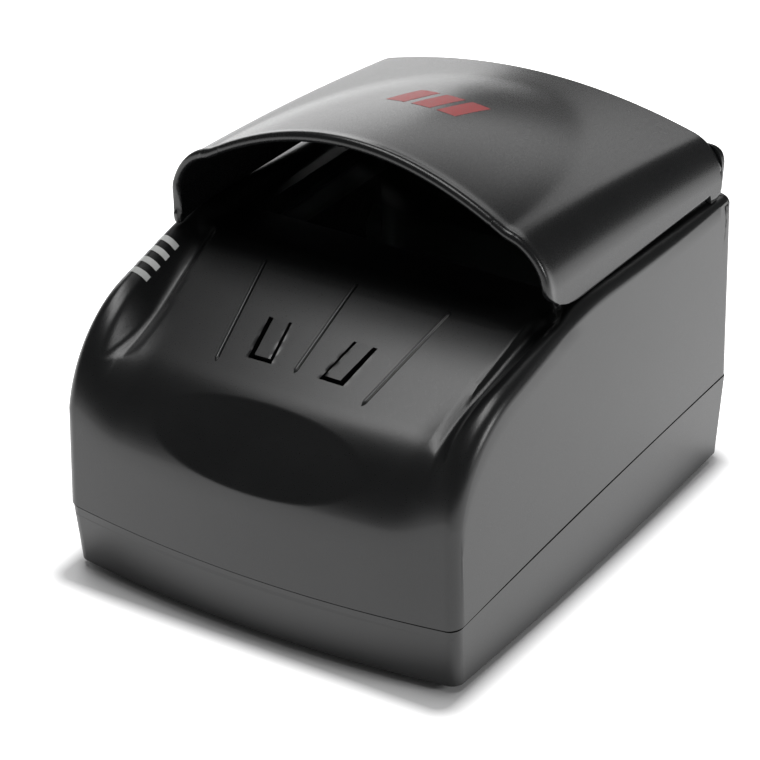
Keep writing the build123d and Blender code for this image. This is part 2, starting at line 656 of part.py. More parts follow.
save("main_board", main_board())
save("board_screws", *[screw(x, y, PCB_Z + PCB_T, FOOT_H + WALL + 1.5, r=1.0, head_r=2.4, head_h=1.5)
                       for x, y in BOARD_POSTS])
save("board_chips", *chips())
save("heatsink", heatsink())
dc, usb = ports()
save("power_inlet", dc)
save("data_socket", usb)
save("beeper", rod_z(-40, 4, PCB_Z + PCB_T, PCB_Z + PCB_T + 8, 6.0)
     - rod_z(-40, 4, PCB_Z + PCB_T + 6, PCB_Z + PCB_T + 9, 1.2))
ribbon, ribbon_plug = camera_ribbon()
save("camera_ribbon", ribbon)
save("ribbon_connector", ribbon_plug)

lamp_board, lamp_leds = status_lamp()
save("status_board", lamp_board)
save("status_leds", *lamp_leds)

brackets, bushes, pins, bracket_screws = hinge_parts()
save("hinge_brackets", *brackets)
save("hinge_bushes", *bushes)
save("hinge_screws", *bracket_screws)
save("hinge_pins", *pins)
save("hood_shell", hood_shell())
save("hood_rear_cap", rear_cap())
save("hood_cap_screws", *cap_screws())
save("hood_bumpers", *bumpers())
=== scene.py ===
from math import cos, pi, radians, sin

import bmesh
import bpy
import numpy as np
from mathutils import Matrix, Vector


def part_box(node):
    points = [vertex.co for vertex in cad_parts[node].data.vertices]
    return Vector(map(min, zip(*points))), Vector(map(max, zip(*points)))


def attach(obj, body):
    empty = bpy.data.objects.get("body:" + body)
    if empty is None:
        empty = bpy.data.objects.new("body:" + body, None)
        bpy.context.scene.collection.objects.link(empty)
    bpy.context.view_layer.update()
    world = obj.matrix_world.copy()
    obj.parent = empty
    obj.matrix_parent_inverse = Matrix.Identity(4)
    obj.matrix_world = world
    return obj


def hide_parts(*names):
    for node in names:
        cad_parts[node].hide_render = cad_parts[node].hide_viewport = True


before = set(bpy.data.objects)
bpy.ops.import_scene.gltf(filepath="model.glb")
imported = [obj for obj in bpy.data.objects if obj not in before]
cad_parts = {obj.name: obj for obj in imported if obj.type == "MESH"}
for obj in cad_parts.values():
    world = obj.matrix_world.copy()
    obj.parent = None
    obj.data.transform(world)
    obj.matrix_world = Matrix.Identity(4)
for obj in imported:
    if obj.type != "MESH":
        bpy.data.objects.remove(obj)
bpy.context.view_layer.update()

# Shapes are worked out in millimetres in the CAD frame and turned into metres when a mesh is made.
MM = 0.001


def node_mm(node):
    low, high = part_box(node)
    return np.array(low) / MM, np.array(high) / MM


# ================================================================ driving values
PAN_HIGH = node_mm("base_pan")[1]
RETAINER_LOW, RETAINER_HIGH = node_mm("glass_retainer")
HOOD_HIGH = node_mm("hood_shell")[1]
PIN_LOW, PIN_HIGH = node_mm("hinge_pins")

HALF_W = 86.6                      # half width at the seam
FRONT_Y, REAR_Y = -106.0, 108.5
BOW_R = 516.0                      # plan radius of the bowed front
BOW_Y = FRONT_Y + BOW_R
LEAN = 0.016                       # how far the sides lean in, per mm of height
FRONT_LEAN, REAR_LEAN = 0.3 * LEAN, 0.8 * LEAN
SEAM_Z = 36.0                      # height of the seam half-way along the side
SEAM_GAP = (0.85, 0.40)            # room above the seam line, front and rear: the skin overhangs the front
WALL = 3.0                         # thickness of the housing
CAVITY_R = 2.5                     # rounding of the edges inside the housing
DECK_Z = RETAINER_HIGH[2]          # level top round the glass
# outlines in side view: nose and crest arcs as (y, z, radius), the slope between them and the rear's fall
DECK = dict(nose=(-63.6, 52.8, 43.0), crest=(-18.1, 75.5, 40.0), up=radians(23.2), fall=0.0)
CHEEK = dict(nose=(-57.5, 61.0, 49.0), crest=(-6.3, -14.6, 135.0), up=radians(14.5), fall=radians(2.43))
RIDGE_X, RIDGE_TILT, RIDGE_R = 80.4, radians(34.0), 3.6     # inner wall of the cheeks, and its rounded top
VALLEY_R = 2.5                     # rounding where the cheek's wall meets the deck
MELT_X, MELT_Z = (56.0, 83.0), (76.0, 100.0)                # where the cheeks melt into the nose
GUTTER_X, GUTTER_R, GUTTER_DEPTH, GUTTER_RISE = 72.9, 4.4, 2.3, 3.8
GUTTER_SPLAY, SPLAY_Y = 0.080, -20.0                        # the gutters close in on each other down the ramp
GUTTER_RISE_Z = (84.0, 98.0)       # heights between which the gutter rises out at the nose
GUTTER_WALL_R, GUTTER_EDGE_R = 3.5, 0.6
CHEEK_FOOT = 5.4                   # how much thicker the cheeks are behind the ramp, where screws enter them
CHEEK_FOOT_Y = (-25.0, -7.0)       # where they thicken
CORNER_R, REAR_CORNER_R = 5.0, 2.5
FRONT_EDGE_R = 0.8
DISH_R, DISH_DEPTH, DISH_TILT, DISH_EDGE_R = 543.0, 3.4, radians(35.0), 0.3
HINGE_Y, HINGE_Z = (PIN_LOW[1] + PIN_HIGH[1]) / 2, (PIN_LOW[2] + PIN_HIGH[2]) / 2


# ================================================================ solid fields, negative inside
def rint(a, b, r):
    """Intersection of two fields with an edge rounded to radius r."""
    inside = np.minimum(np.maximum(a, b), -r)
    return inside + np.hypot(np.maximum(a + r, 0.0), np.maximum(b + r, 0.0))


def runion(a, b, r):
    return -rint(-a, -b, r)


def outline(y, z, nose, crest, up, fall, nosed=True):
    """Distance from a front-to-rear outline: upright front, nose arc, slope, crest arc, rear run.

    Without its nose the outline is the slope, run on downwards, the crest and the rear run.
    """
    (ny, nz, nr), (cy, cz, cr) = nose, crest
    front = ny - nr - y
    round_nose = np.hypot(y - ny, z - nz) - nr
    slope = -sin(up) * (y - ny) + cos(up) * (z - nz) - nr
    round_crest = np.hypot(y - cy, z - cz) - cr
    rear = sin(fall) * (y - cy) + cos(fall) * (z - cz) - cr
    past_nose = cos(up) * (y - ny) + sin(up) * (z - nz) > 0
    past_slope = cos(up) * (y - cy) + sin(up) * (z - cz) > 0
    past_crest = cos(fall) * (y - cy) - sin(fall) * (z - cz) > 0
    if nosed:
        d = np.where(past_nose & (z > nz), slope, np.where(z < nz, front, round_nose))
    else:
        d = slope
    d = np.where(past_slope & (z > nz), round_crest, d)
    return np.where(past_slope & past_crest & (z > nz), rear, d)


def side_x(y, z):
    """Half width of the body: it leans in to the top and is bowed in plan."""
    bow = np.where(y < 0, 1.4 * (y / 103.0) ** 2, 2.0 * (y / 107.0) ** 2)
    return HALF_W - LEAN * (z - SEAM_Z) - bow


def front_field(yq, z):
    """Distance in front of the body's upright front; yq is y with the bow of the front taken out."""
    return FRONT_Y + FRONT_LEAN * (z - SEAM_Z) - yq


def rear_field(y, z):
    return y - (REAR_Y - REAR_LEAN * (z - SEAM_Z))


def seam_z(y):
    """Height of the seam: one large arc, rising from the front and level at the rear."""
    along = np.array([-110.0, 0.0, 110.0])
    height = np.array([26.4, SEAM_Z, 37.8])
    return np.polyval(np.polyfit(along, height, 2), y)


def smoothstep(x, a, b):
    t = np.clip((x - a) / (b - a), 0.0, 1.0)
    return t * t * (3 - 2 * t)


def skin_foot_z(y):
    """Height of the upper housing's lower edge."""
    front, rear = SEAM_GAP
    return seam_z(y) + front + (rear - front) * smoothstep(y, -60.0, 60.0)


TONGUE_X = (10.4, 20.5)            # inner and outer edge of a page tongue at its free end
TONGUE_Y = (-71.5, -53.1)          # free end and root
TONGUE_FAN = 3.0                   # how far out a tongue leans from its free end to its root
TONGUE_LIFT = 0.55


def tongue_lift(x, y):
    """How far a page tongue stands above the ramp: most at its lower, free end."""
    k = (y - TONGUE_Y[0]) / (TONGUE_Y[1] - TONGUE_Y[0])
    u = np.abs(x) - TONGUE_FAN * k
    inner, outer = TONGUE_X
    across = smoothstep(u, inner + 0.2, inner + 0.8) * (1 - smoothstep(u, outer - 0.8, outer - 0.2))
    along = smoothstep(k, 0.01, 0.04) * np.clip(1.0 - k, 0.0, 1.0)
    return TONGUE_LIFT * across * along


def dish_field(p):
    """Outside of the very large ball that bites an oval dish into the rounded nose."""
    ny, nz, nr = DECK["nose"]
    reach = nr + DISH_R - DISH_DEPTH
    centre = np.array([0.0, ny - reach * cos(DISH_TILT), nz + reach * sin(DISH_TILT)])
    return DISH_R - np.linalg.norm(p - centre, axis=-1)


def cavity_field(p):
    """Hollow of the housing: it follows the deck, so the cheeks are solid above it."""
    x, y, z = p[..., 0], p[..., 1], p[..., 2]
    yq = BOW_Y - np.hypot(BOW_Y - y, x)
    side = np.abs(x) - side_x(y, z)
    top = rint(outline(yq, z, **DECK), front_field(yq, z), FRONT_EDGE_R)
    top = rint(top, dish_field(p), DISH_EDGE_R)
    return rint(rint(top + WALL, side + WALL, CAVITY_R), rear_field(y, z) + WALL, CAVITY_R)


def body_field(p):
    """The upper housing as one solid: deck, cheeks, gutters, dish, front, sides and rear."""
    x, y, z = p[..., 0], p[..., 1], p[..., 2]
    ax = np.abs(x)
    yq = BOW_Y - np.hypot(BOW_Y - y, x)
    deck = outline(yq, z, **DECK) - tongue_lift(x, y)
    cheek = outline(yq, z, **CHEEK)
    splay = GUTTER_SPLAY * np.minimum(y - SPLAY_Y, 0.0)
    behind = smoothstep(y, *CHEEK_FOOT_Y)
    wall = cos(RIDGE_TILT) * (RIDGE_X + splay - CHEEK_FOOT * behind - ax) + sin(RIDGE_TILT) * cheek
    ridge = rint(cheek, wall, RIDGE_R)
    # up on the ramp the ridge stands clear of the deck; down on the nose the two melt into one skin
    melted = deck + (cheek - deck) * smoothstep(ax, *MELT_X)
    top = melted + (runion(deck, ridge, VALLEY_R) - melted) * smoothstep(z, *MELT_Z)
    # the gutter beside each cheek: it follows the ramp, sweeps up the ridge and rises out at the nose
    rise = GUTTER_RISE * (1 - smoothstep(z, *GUTTER_RISE_Z)) + 2 * GUTTER_R * behind
    above = outline(yq, z, **DECK, nosed=False) - rise - (GUTTER_R - GUTTER_DEPTH)
    groove = np.hypot(np.minimum(ax - GUTTER_X - splay, 0.0), np.minimum(above, 0.0)) - GUTTER_R
    top = rint(top, -rint(groove, -wall, GUTTER_WALL_R), GUTTER_EDGE_R)
    top = rint(top, dish_field(p), DISH_EDGE_R)
    top = rint(top, front_field(yq, z), FRONT_EDGE_R)
    side = ax - side_x(y, z)
    return rint(rint(top, side, CORNER_R), rear_field(y, z), REAR_CORNER_R)


def trace(field, origin, direction, reach):
    """Where rays from far out along direction, coming back in, meet the field's surface."""
    t = np.full(origin.shape[:-1], float(reach))
    for _ in range(40):
        t = t - field(origin + direction * t[..., None])
    return origin + direction * t[..., None]


# ================================================================ mesh helpers
def unit(v):
    return v / np.maximum(np.linalg.norm(v, axis=-1, keepdims=True), 1e-12)


def grid_faces(index):
    """Quads of a grid of vertex numbers."""
    a, b = index[:-1, :-1].ravel(), index[:-1, 1:].ravel()
    c, d = index[1:, 1:].ravel(), index[1:, :-1].ravel()
    return np.stack([a, b, c, d], 1)


def weld(grids, mask=None):
    """Joins grids of points that share edges: (points, faces, first-use index).

    mask holds, for each grid, the quads to leave out, or None.
    """
    points = np.concatenate([g.reshape(-1, 3) for g in grids])
    _, first, back = np.unique(np.round(points, 3), axis=0, return_index=True, return_inverse=True)
    back = back.reshape(-1)
    faces, start = [], 0
    for n, g in enumerate(grids):
        index = back[start:start + g.shape[0] * g.shape[1]].reshape(g.shape[:2])
        quads = grid_faces(index)
        if mask is not None and mask[n] is not None:
            quads = quads[~mask[n].ravel()]
        faces.append(quads)
        start += g.shape[0] * g.shape[1]
    return points[first], np.concatenate(faces), first


def border_edges(faces):
    """Edges that belong to one face only, in that face's direction."""
    uses = {}
    for f in faces:
        for a, b in zip(f, np.roll(f, -1)):
            if a != b:
                uses.setdefault((min(a, b), max(a, b)), []).append((a, b))
    return [found[0] for found in uses.values() if len(found) == 1]


def thick_skin(grids_out, grids_in, mask=None, rings=1):
    """Closed shell from an outer and an inner skin of the same layout; rings > 1 rounds its edges."""
    outer, faces, first = weld(grids_out, mask)
    inner = np.concatenate([g.reshape(-1, 3) for g in grids_in])[first]
    n = len(outer)
    all_points = [outer, inner]
    all_faces = [[int(v) for v in f] for f in faces]
    all_faces += [[int(v) + n for v in reversed(f)] for f in faces]
    border = border_edges(faces)
    rim = sorted({v for e in border for v in e})
    on_rim = np.zeros(n, bool)
    on_rim[rim] = True
    away = np.zeros((n, 3))
    for f in faces:
        free = [v for v in f if not on_rim[v]]
        if free and len(free) < 4:
            middle = outer[free].mean(0)
            for v in f:
                if on_rim[v]:
                    away[v] += outer[v] - middle
    forward = unit(away[rim])
    half = (outer[rim] - inner[rim]) / 2
    mid = (outer[rim] + inner[rim]) / 2
    forward = unit(forward - unit(half) * np.sum(forward * unit(half), axis=1, keepdims=True))
    size = np.linalg.norm(half, axis=1, keepdims=True)
    chain = [{v: v for v in rim}]
    total = 2 * n
    for k in range(1, rings):
        a = pi * k / rings
        all_points.append(mid + half * cos(a) + forward * size * sin(a))
        chain.append({v: total + i for i, v in enumerate(rim)})
        total += len(rim)
    chain.append({v: v + n for v in rim})
    for low, high in zip(chain[:-1], chain[1:]):
        all_faces += [[low[b], low[a], high[a], high[b]] for a, b in border]
    return np.concatenate(all_points), all_faces


def make_mesh(name, points, faces, material, crease=35.0):
    """Mesh object from points in mm; edges sharper than crease degrees stay sharp."""
    mesh = bpy.data.meshes.new(name)
    clean = []
    for f in faces:
        keep = [int(v) for i, v in enumerate(f) if v != f[i - 1]]
        if len(keep) > 2:
            clean.append(keep)
    mesh.from_pydata((np.asarray(points) * MM).tolist(), [], clean)
    obj = bpy.data.objects.new(name, mesh)
    bpy.context.scene.collection.objects.link(obj)
    tidy_mesh(obj, crease)
    mesh.materials.append(material)
    return obj


def tidy_mesh(obj, crease):
    """Merges doubled points, drops loose ones, faces the normals outwards and marks the sharp edges."""
    bm = bmesh.new()
    bm.from_mesh(obj.data)
    bmesh.ops.remove_doubles(bm, verts=bm.verts, dist=2e-6)
    bmesh.ops.dissolve_degenerate(bm, dist=1e-6, edges=bm.edges)
    loose = [v for v in bm.verts if not v.link_faces]
    bmesh.ops.delete(bm, geom=loose, context="VERTS")
    bmesh.ops.recalc_face_normals(bm, faces=bm.faces)
    limit = radians(crease)
    for f in bm.faces:
        f.smooth = True
    for e in bm.edges:
        e.smooth = len(e.link_faces) == 2 and e.calc_face_angle(0.0) < limit
    bm.to_mesh(obj.data)
    bm.free()


def steps(a, b, gap):
    """Evenly spaced values from a to b, about gap apart."""
    return np.linspace(a, b, max(2, int(round(abs(b - a) / gap)) + 1))


def chain_values(*parts):
    """Joins lists of rising values, dropping doubled ends."""
    out = list(parts[0])
    for part in parts[1:]:
        out += [v for v in part if v > out[-1] + 1e-6]
    return np.array(out)


def fill_patch(top, bottom, first, last):
    """Grid between four edge curves that share corners; rows run from top to bottom."""
    rows, cols = len(first), len(top)
    u = np.linspace(0, 1, cols)[None, :, None]
    v = np.linspace(0, 1, rows)[:, None, None]
    ruled = (1 - v) * top[None] + v * bottom[None] + (1 - u) * first[:, None] + u * last[:, None]
    corners = ((1 - u) * (1 - v) * top[0] + u * (1 - v) * top[-1]
               + (1 - u) * v * bottom[0] + u * v * bottom[-1])
    return ruled - corners


def even_curve(curve, count):
    """The same number of evenly spaced points along a polyline."""
    step = np.r_[0, np.cumsum(np.linalg.norm(np.diff(curve, axis=0), axis=1))]
    at = np.linspace(0, step[-1], count)
    return np.stack([np.interp(at, step, curve[:, k]) for k in range(3)], 1)


def mirrored(grid):
    return grid * np.array([-1.0, 1.0, 1.0])


# ================================================================ materials
def nodes_of(name):
    """New material with one principled shader: (material, node tree, shader)."""
    mat = bpy.data.materials.new(name)
    mat.use_nodes = True
    tree = mat.node_tree
    tree.nodes.clear()
    out = tree.nodes.new("ShaderNodeOutputMaterial")
    shader = tree.nodes.new("ShaderNodeBsdfPrincipled")
    tree.links.new(shader.outputs[0], out.inputs[0])
    return mat, tree, shader


def add(tree, kind, **inputs):
    node = tree.nodes.new(kind)
    for key, value in inputs.items():
        node.inputs[key.replace("_", " ")].default_value = value
    return node


def noise(tree, scale, detail=4.0, roughness=0.55):
    coords = tree.nodes.new("ShaderNodeTexCoord")
    tex = add(tree, "ShaderNodeTexNoise", Scale=scale, Detail=detail, Roughness=roughness)
    tree.links.new(coords.outputs["Object"], tex.inputs["Vector"])
    return tex


def ramp(tree, source, low, high, start=0.35, end=0.65):
    node = tree.nodes.new("ShaderNodeValToRGB")
    node.color_ramp.elements[0].position = start
    node.color_ramp.elements[1].position = end
    node.color_ramp.elements[0].color = (*low, 1)
    node.color_ramp.elements[1].color = (*high, 1)
    tree.links.new(source, node.inputs[0])
    return node.outputs[0]


def add_range(tree, source, start, end, low, high):
    """Value that goes from low to high as source goes from start to end, and no further."""
    node = add(tree, "ShaderNodeMapRange", From_Min=start, From_Max=end, To_Min=low, To_Max=high)
    tree.links.new(source, node.inputs[0])
    return node.outputs[0]


def spread(tree, source, low, high):
    """Value from low to high over the range that a noise covers."""
    return add_range(tree, source, 0.3, 0.7, low, high)


def bump(tree, shader, source, strength, distance):
    node = add(tree, "ShaderNodeBump", Strength=strength, Distance=distance)
    tree.links.new(source, node.inputs["Height"])
    tree.links.new(node.outputs[0], shader.inputs["Normal"])


def plastic(name, dark, light, rough, grain=2600.0, depth=0.00003, strength=0.35):
    """Moulded plastic: a fine spark-eroded grain with slow changes of tone and gloss."""
    mat, tree, shader = nodes_of(name)
    slow = noise(tree, 38.0, 5.0)
    fine = noise(tree, grain, 2.0)
    tree.links.new(ramp(tree, slow.outputs[0], dark, light), shader.inputs["Base Color"])
    tree.links.new(spread(tree, fine.outputs[0], *rough), shader.inputs["Roughness"])
    bump(tree, shader, fine.outputs[0], strength, depth)
    return mat


MARK_SCALE, MARK_STRETCH = 45.0, (1.0, 30.0, 30.0)


def metal(name, dark, light, rough):
    """Worked metal with fine directional marks."""
    mat, tree, shader = nodes_of(name)
    coords = tree.nodes.new("ShaderNodeTexCoord")
    mapping = add(tree, "ShaderNodeMapping", Scale=MARK_STRETCH)
    tex = add(tree, "ShaderNodeTexNoise", Scale=MARK_SCALE, Detail=6.0)
    tree.links.new(coords.outputs["Object"], mapping.inputs["Vector"])
    tree.links.new(mapping.outputs[0], tex.inputs["Vector"])
    tree.links.new(ramp(tree, tex.outputs[0], dark, light), shader.inputs["Base Color"])
    tree.links.new(spread(tree, tex.outputs[0], *rough), shader.inputs["Roughness"])
    shader.inputs["Metallic"].default_value = 1.0
    bump(tree, shader, tex.outputs[0], 0.15, 0.00002)
    return mat


BLACKS = (0.0050, 0.0053, 0.0056), (0.0072, 0.0075, 0.0078)
HOUSING_MAT = plastic("satin_black_housing", *BLACKS, (0.27, 0.35))
HOOD_MAT = plastic("satin_black_hood", *BLACKS, (0.24, 0.32))
PAN_MAT = plastic("satin_black_pan", *BLACKS, (0.30, 0.38))
INNER_MAT = plastic("dull_black_inner", (0.003, 0.003, 0.003), (0.006, 0.006, 0.006), (0.70, 0.90))
RUBBER_MAT = plastic("foot_rubber", (0.010, 0.010, 0.010), (0.020, 0.020, 0.019), (0.70, 0.90),
                     900.0, 0.00008)
WINDOW_MAT = plastic("lamp_window", (0.44, 0.45, 0.44), (0.58, 0.59, 0.58), (0.25, 0.40), 1500.0, 0.00003)
BUSH_MAT = plastic("natural_nylon", (0.55, 0.54, 0.50), (0.68, 0.67, 0.62), (0.40, 0.55))
CHIP_MAT = plastic("chip_resin", (0.012, 0.012, 0.013), (0.024, 0.024, 0.026), (0.45, 0.65))
LED_MAT = plastic("led_resin", (0.72, 0.66, 0.30), (0.86, 0.80, 0.46), (0.20, 0.35))
DIFFUSER_MAT = plastic("frosted_diffuser", (0.72, 0.73, 0.73), (0.82, 0.83, 0.83), (0.45, 0.60))
FILM_MAT = plastic("ribbon_film", (0.50, 0.42, 0.26), (0.62, 0.54, 0.36), (0.30, 0.45))
BOARD_MAT = plastic("solder_mask", (0.008, 0.055, 0.022), (0.014, 0.085, 0.034), (0.28, 0.42),
                    420.0, 0.00004)
BLACK_STEEL_MAT = plastic("black_lacquer", (0.010, 0.010, 0.010), (0.016, 0.016, 0.017), (0.34, 0.46),
                          1800.0)
STEEL_MAT = metal("zinc_steel", (0.38, 0.38, 0.36), (0.62, 0.62, 0.60), (0.25, 0.42))
PIN_MAT = metal("ground_steel", (0.48, 0.48, 0.48), (0.66, 0.66, 0.66), (0.18, 0.30))
BRASS_MAT = metal("turned_brass", (0.55, 0.38, 0.14), (0.74, 0.55, 0.24), (0.22, 0.36))
SINK_MAT = metal("anodised_fins", (0.30, 0.31, 0.33), (0.44, 0.45, 0.48), (0.35, 0.50))
BARREL_MAT = metal("black_anodised", (0.015, 0.015, 0.016), (0.035, 0.035, 0.037), (0.35, 0.50))
MIRROR_MAT = metal("silvered_face", (0.82, 0.84, 0.84), (0.90, 0.91, 0.91), (0.02, 0.05))


def glass(name, dark, light, rough):
    """Clear or tinted glass with faint smears."""
    mat, tree, shader = nodes_of(name)
    smear = noise(tree, 60.0, 6.0)
    tree.links.new(ramp(tree, smear.outputs[0], dark, light), shader.inputs["Base Color"])
    tree.links.new(spread(tree, smear.outputs[0], *rough), shader.inputs["Roughness"])
    shader.inputs["IOR"].default_value = 1.5
    shader.inputs["Transmission Weight"].default_value = 0.96
    return mat


GLASS_MAT = glass("smoked_platen_glass", (0.30, 0.33, 0.32), (0.42, 0.45, 0.44), (0.01, 0.04))
LENS_MAT = glass("coated_lens", (0.80, 0.84, 0.97), (0.95, 0.96, 1.0), (0.01, 0.03))


def red_ink():
    mat, tree, shader = nodes_of("red_pad_print")
    tex = noise(tree, 900.0, 3.0)
    tree.links.new(ramp(tree, tex.outputs[0], (0.26, 0.006, 0.007), (0.36, 0.010, 0.011)),
                   shader.inputs["Base Color"])
    tree.links.new(spread(tree, tex.outputs[0], 0.40, 0.52), shader.inputs["Roughness"])
    bump(tree, shader, tex.outputs[0], 0.2, 0.00001)
    return mat


RED_MAT = red_ink()

CAD_FINISH = {
    "base_pan": PAN_MAT, "rubber_feet": RUBBER_MAT, "base_screws": STEEL_MAT, "platen_glass": GLASS_MAT,
    "glass_gasket": RUBBER_MAT, "glass_retainer": BLACK_STEEL_MAT, "optics_box": INNER_MAT,
    "optics_screws": STEEL_MAT, "fold_mirror": MIRROR_MAT, "mirror_clips": INNER_MAT,
    "camera_bracket": STEEL_MAT, "camera_board": BOARD_MAT, "camera_spacers": BRASS_MAT,
    "camera_screws": STEEL_MAT, "lens_mount": INNER_MAT, "lens_barrel": BARREL_MAT, "lens_glass": LENS_MAT,
    "image_sensor": CHIP_MAT, "light_boards": BOARD_MAT, "light_leds": LED_MAT,
    "light_diffusers": DIFFUSER_MAT, "main_board": BOARD_MAT, "board_screws": STEEL_MAT,
    "board_chips": CHIP_MAT, "heatsink": SINK_MAT, "power_inlet": INNER_MAT, "data_socket": STEEL_MAT,
    "beeper": CHIP_MAT, "camera_ribbon": FILM_MAT, "ribbon_connector": BUSH_MAT,
    "status_board": BOARD_MAT, "status_leds": LED_MAT, "hinge_brackets": BLACK_STEEL_MAT,
    "hinge_bushes": INNER_MAT, "hinge_screws": BLACK_STEEL_MAT, "hinge_pins": PIN_MAT,
    "hood_rear_cap": HOOD_MAT, "hood_cap_screws": BLACK_STEEL_MAT, "hood_bumpers": RUBBER_MAT,
}
for node, finish in CAD_FINISH.items():
    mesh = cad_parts[node].data
    mesh.materials.clear()
    mesh.materials.append(finish)


# ================================================================ upper housing
FIXED_X = 77.0                     # mesh columns stand at fixed x up to here, and spread to the side beyond
FOOT_START, FOOT_END = 26.7, 37.6  # seam heights at the front and rear, where the rays start and end
SEAM_STATIONS = 13                 # rows of rays on the upright front, and on the rear
LEVEL_Y = -18.0                    # where the deck is level at last
CHEEK_LEVEL = 4.0                  # how much higher the rays for the cheeks stand than those for the deck
REAR_INSET = 1.3                   # how far in from the seam's rear end the rear's rays stand


def housing_stations(profile):
    """Rays in side view, from the front seam over the top to the rear seam.

    Each row is the foot (y, z), the heading (y, z) and how much of the front's bow it takes.
    """
    (ny, nz, nr), (cy, cz, cr), up = profile["nose"], profile["crest"], profile["up"]
    out = []
    for z in np.linspace(FOOT_START, nz, SEAM_STATIONS + 1)[:-1]:
        out.append((ny - nr, z, -1.0, 0.0, 1.0))
    for a in np.linspace(pi, pi / 2 + up, 96):
        out.append((ny + nr * cos(a), nz + nr * sin(a), cos(a), sin(a), 1.0))
    start = np.array(out[-1][:2])
    slope_end = np.array([cy - cr * sin(up), cz + cr * cos(up)])
    for k in np.linspace(0, 1, 42)[1:]:
        y, z = start + (slope_end - start) * k
        out.append((y, z, -sin(up), cos(up), 1.0))
    level_z = DECK_Z + (CHEEK_LEVEL if profile is CHEEK else 0.0)
    for k in np.linspace(0, 1, 20)[1:]:
        a = up * (1 - k)
        y, z = slope_end + (np.array([LEVEL_Y, level_z]) - slope_end) * k
        z += (z - slope_end[1]) * (1 - k)
        out.append((y, z, -sin(a), cos(a), 1.0 - k))
    y0, y1 = RETAINER_LOW[1], RETAINER_HIGH[1]
    level = chain_values(steps(LEVEL_Y + 1.0, y0, 1.4), steps(y0, y1, 4.0), steps(y1, REAR_Y - 4.5, 1.6))
    for y in level:
        out.append((y, level_z, 0.0, 1.0, 0.0))
    yc, zc = REAR_Y - REAR_INSET - REAR_CORNER_R, DECK_Z - REAR_CORNER_R
    for a in np.linspace(pi / 2, 0, 14)[1:]:
        out.append((yc + REAR_CORNER_R * cos(a), zc + REAR_CORNER_R * sin(a), cos(a), sin(a), 0.0))
    for z in np.linspace(zc, FOOT_END, SEAM_STATIONS + 1)[1:]:
        out.append((yc + REAR_CORNER_R, z, 1.0, 0.0, 0.0))
    return np.array(out)


def housing_columns():
    """Columns across the top, from the middle out to FIXED_X; one stands on the retainer's edge."""
    pocket = RETAINER_HIGH[0]
    return chain_values(steps(0, 50.0, 1.0), steps(50.0, 66.0, 2.0), steps(66.0, pocket, 0.65),
                        steps(pocket, 75.0, 0.55), steps(75.0, FIXED_X, 0.28))


def housing_grids(hollow):
    """Top strip and two side panels, as grids of points on the outer skin or on the hollow."""
    field, radius, inset = (cavity_field, CAVITY_R, WALL) if hollow else (body_field, CORNER_R, 0.0)
    stations, count = housing_stations(DECK if hollow else CHEEK), SEAM_STATIONS
    half = housing_columns()
    fan = np.linspace(0, pi / 2, 14)[1:]
    foot = stations[:, :2] - stations[:, 2:4] * (radius + inset)
    edge = side_x(foot[:, 0], foot[:, 1]) - inset - radius
    rows, origins, headings = len(stations), [], []
    flat = np.stack([np.zeros(rows), stations[:, 2], stations[:, 3]], 1)
    for x in half:
        origins.append(np.stack([np.full(rows, x), foot[:, 0], foot[:, 1]], 1))
        headings.append(flat)
    for k in np.linspace(0, 1, 9)[1:]:
        origins.append(np.stack([FIXED_X + (edge - FIXED_X) * k, foot[:, 0], foot[:, 1]], 1))
        headings.append(flat)
    for a in fan:
        origins.append(np.stack([edge, foot[:, 0], foot[:, 1]], 1))
        aside = np.full(rows, sin(a))
        headings.append(np.stack([aside, stations[:, 2] * cos(a), stations[:, 3] * cos(a)], 1))
    origin, heading = np.stack(origins, 1), np.stack(headings, 1)
    sag = BOW_R - np.sqrt(BOW_R ** 2 - origin[..., 0] ** 2)
    origin[..., 1] += sag * stations[:, None, 4]
    right = trace(field, origin, heading, CORNER_R + 3.5)
    for row in (0, -1):
        right[row, :, 2] = skin_foot_z(right[row, :, 1])
    top = np.concatenate([mirrored(right)[:, :0:-1], right], 1)
    # side panel: bounded by the strip's last column and the seam
    column = right[:, -1]
    upper = column[count:rows - count]
    front, rear = column[count::-1], column[rows - count - 1:]
    y = np.linspace(front[-1, 1], rear[-1, 1], len(upper))
    lower = np.stack([side_x(y, seam_z(y)) - inset, y, skin_foot_z(y)], 1)
    lower[0], lower[-1] = front[-1], rear[-1]
    panel = fill_patch(upper, lower, front, rear)
    inner = panel[1:-1, 1:-1].copy()
    inner[..., 0] = side_x(inner[..., 1], inner[..., 2]) - inset
    panel[1:-1, 1:-1] = inner
    return [top, panel, mirrored(panel)]


def window_mask(top):
    """Quads of the top strip inside the retainer's pocket."""
    middle = (top[:-1, :-1] + top[1:, 1:]) / 2
    x_in = np.abs(middle[..., 0]) < RETAINER_HIGH[0]
    y_in = (middle[..., 1] > RETAINER_LOW[1]) & (middle[..., 1] < RETAINER_HIGH[1])
    return x_in & y_in & (middle[..., 2] > DECK_Z - 3)


def extruded(outline_xy, place, low, high):
    """Closed prism: 2-D outline placed by place(u, v, w) with w from low to high."""
    n = len(outline_xy)
    points = [place(u, v, low) for u, v in outline_xy] + [place(u, v, high) for u, v in outline_xy]
    faces = [list(range(n))[::-1], list(range(n, 2 * n))]
    faces += [[i, (i + 1) % n, n + (i + 1) % n, n + i] for i in range(n)]
    return np.array(points), faces


